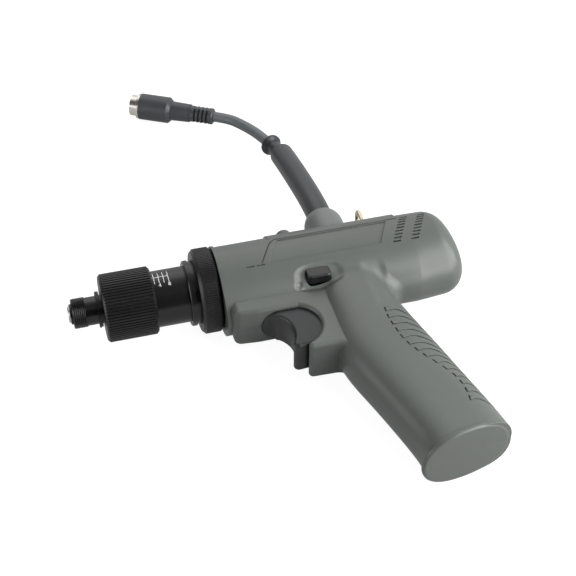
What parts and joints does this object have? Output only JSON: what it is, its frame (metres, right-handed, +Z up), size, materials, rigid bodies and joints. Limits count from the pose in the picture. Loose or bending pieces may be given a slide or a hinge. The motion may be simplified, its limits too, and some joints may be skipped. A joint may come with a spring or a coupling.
{
  "type": "electric torque screwdriver",
  "caption": "Pistol-grip electric torque screwdriver with a hex bit socket, ridged torque-setting sleeve, trigger, reversing button, suspension bail and a short cable with plug.",
  "frame": {"origin": "centre of the nose tip of the output spindle, on the output axis", "axes": "+X along the output axis from the nose to the rear of the barrel; +Z up as the tool lies on its right side on a table at z = -23.4 mm, on its coupling ring, grip foot and plug; the grip points to -Y and the suspension bail to +Y"},
  "size_m": [0.2156, 0.3535, 0.0468],
  "materials": {
    "housing_plastic": "satin moulded plastic",
    "trigger_plastic": "satin moulded plastic",
    "black_anodised": "black anodised",
    "steel": "ground",
    "dark_steel": "blackened",
    "chrome": "plated",
    "brass": "turned",
    "bail_wire": "gold passivated wire",
    "rubber": "matt",
    "cable_rubber": "matt",
    "insert_plastic": "gloss",
    "nylon": "natural",
    "board": "varnished board",
    "components": "mixed parts",
    "lens": "clear to smoke lens",
    "armature_steel": "laminated core",
    "magnet": "sintered"
  },
  "bodies": {
    "tool": {"bit_sleeve_spring": "steel", "board_components": "components", "cable": "cable_rubber", "cable_boot": "rubber", "cable_gland": "housing_plastic", "clutch_housing": "black_anodised", "clutch_spring": "steel", "control_board": "board", "coupling_ring": "black_anodised", "front_motor_bearing": "chrome", "gear_case": "dark_steel", "gland_nut": "nylon", "housing_left": "housing_plastic", "housing_right": "housing_plastic", "housing_screws": "dark_steel", "indicator_lens": "lens", "motor_brushes": "magnet", "motor_can": "chrome", "motor_end_cap": "nylon", "motor_magnets": "magnet", "nose_circlip": "dark_steel", "nose_washer": "dark_steel", "output_bearing": "chrome", "plug_insert": "insert_plastic", "plug_overmould": "rubber", "plug_shell": "chrome", "rear_motor_bearing": "chrome", "reversing_switch": "components", "spindle_bushing": "brass", "trigger_pin": "steel", "trigger_switch": "components"},
    "thrust_seat_body": {"thrust_seat": "steel"},
    "adjusting_sleeve_body": {"adjusting_sleeve": "black_anodised"},
    "spindle": {"output_spindle": "steel", "clutch_balls": "chrome", "pressure_plate": "steel"},
    "bit_sleeve_body": {"bit_sleeve": "black_anodised"},
    "output_carrier_body": {"output_carrier": "steel"},
    "first_carrier_body": {"first_carrier": "steel"},
    "armature_body": {"armature": "armature_steel", "motor_pinion": "brass"},
    "trigger_body": {"trigger": "trigger_plastic"},
    "plunger_body": {"switch_plunger": "nylon"},
    "button_body": {"reversing_button": "housing_plastic"},
    "bail_body": {"suspension_bail": "bail_wire"},
    "planet_two_1_body": {"planet_two_1": "steel"},
    "planet_two_2_body": {"planet_two_2": "steel"},
    "planet_two_3_body": {"planet_two_3": "steel"},
    "planet_one_1_body": {"planet_one_1": "nylon"},
    "planet_one_2_body": {"planet_one_2": "nylon"},
    "planet_one_3_body": {"planet_one_3": "nylon"}
  },
  "joints": [
    {"name": "sleeve_turn", "type": "hinge", "parent": "thrust_seat_body", "child": "adjusting_sleeve_body", "pos_m": [0.0186, 0, 0], "axis": [1, 0, 0], "range_deg": [-180, 1680]},
    {"name": "seat_slide", "type": "slide", "parent": "tool", "child": "thrust_seat_body", "axis": [1, 0, 0], "range_m": [-0.00075, 0.007], "deforming": ["clutch_spring"]},
    {"name": "bit_sleeve_slide", "type": "slide", "parent": "spindle", "child": "bit_sleeve_body", "axis": [1, 0, 0], "range_m": [0, 0.0018], "stiffness_N_per_m": 800, "springref_m": -0.002, "deforming": ["bit_sleeve_spring"]},
    {"name": "motor_spin", "type": "hinge", "parent": "tool", "child": "armature_body", "pos_m": [0.099, 0, 0], "axis": [1, 0, 0], "continuous": true},
    {"name": "first_carrier_spin", "type": "hinge", "parent": "tool", "child": "first_carrier_body", "pos_m": [0.08524, 0, 0], "axis": [1, 0, 0], "continuous": true},
    {"name": "output_carrier_spin", "type": "hinge", "parent": "tool", "child": "output_carrier_body", "pos_m": [0.07524, 0, 0], "axis": [1, 0, 0], "continuous": true},
    {"name": "spindle_spin", "type": "hinge", "parent": "tool", "child": "spindle", "pos_m": [0, 0, 0], "axis": [1, 0, 0], "continuous": true},
    {"name": "planet_one_1_spin", "type": "hinge", "parent": "first_carrier_body", "child": "planet_one_1_body", "pos_m": [0.08844, 0.01049, 0.00038], "axis": [1, 0, 0], "continuous": true},
    {"name": "planet_one_2_spin", "type": "hinge", "parent": "first_carrier_body", "child": "planet_one_2_body", "pos_m": [0.08844, -0.00558, 0.00889], "axis": [1, 0, 0], "continuous": true},
    {"name": "planet_one_3_spin", "type": "hinge", "parent": "first_carrier_body", "child": "planet_one_3_body", "pos_m": [0.08844, -0.00491, -0.00928], "axis": [1, 0, 0], "continuous": true},
    {"name": "planet_two_1_spin", "type": "hinge", "parent": "output_carrier_body", "child": "planet_two_1_body", "pos_m": [0.07844, 0.01049, 0.00038], "axis": [1, 0, 0], "continuous": true},
    {"name": "planet_two_2_spin", "type": "hinge", "parent": "output_carrier_body", "child": "planet_two_2_body", "pos_m": [0.07844, -0.00558, 0.00889], "axis": [1, 0, 0], "continuous": true},
    {"name": "planet_two_3_spin", "type": "hinge", "parent": "output_carrier_body", "child": "planet_two_3_body", "pos_m": [0.07844, -0.00491, -0.00928], "axis": [1, 0, 0], "continuous": true},
    {"name": "trigger_pull", "type": "hinge", "parent": "tool", "child": "trigger_body", "pos_m": [0.1045, -0.02898, -0.00106], "axis": [0, -0.0367, 0.9993], "range_deg": [0, 8], "stiffness_Nm_per_rad": 0.8, "springref_deg": -6.88},
    {"name": "plunger_press", "type": "slide", "parent": "tool", "child": "plunger_body", "axis": [1, 0, 0], "range_m": [0, 0.0023]},
    {"name": "button_push", "type": "slide", "parent": "tool", "child": "button_body", "axis": [0, -0.0367, 0.9993], "range_m": [-0.003, 0]},
    {"name": "bail_swing", "type": "hinge", "parent": "tool", "child": "bail_body", "pos_m": [0.172, 0.02648, 0.00097], "axis": [0, -0.0367, 0.9993], "range_deg": [-80, 35]}
  ],
  "couplings": [
    {"joint": "seat_slide", "follows": "sleeve_turn", "m_per_rad": 0.00023873},
    {"joint": "plunger_press", "follows": "trigger_pull", "m_per_rad": 0.016472},
    {"joint": "first_carrier_spin", "follows": "motor_spin", "ratio": 0.2},
    {"joint": "output_carrier_spin", "follows": "motor_spin", "ratio": 0.04},
    {"joint": "spindle_spin", "follows": "motor_spin", "ratio": 0.04},
    {"joint": "planet_one_1_spin", "follows": "motor_spin", "ratio": -0.53333},
    {"joint": "planet_two_1_spin", "follows": "motor_spin", "ratio": -0.10667},
    {"joint": "planet_one_2_spin", "follows": "motor_spin", "ratio": -0.53333},
    {"joint": "planet_two_2_spin", "follows": "motor_spin", "ratio": -0.10667},
    {"joint": "planet_one_3_spin", "follows": "motor_spin", "ratio": -0.53333},
    {"joint": "planet_two_3_spin", "follows": "motor_spin", "ratio": -0.10667}
  ]
}
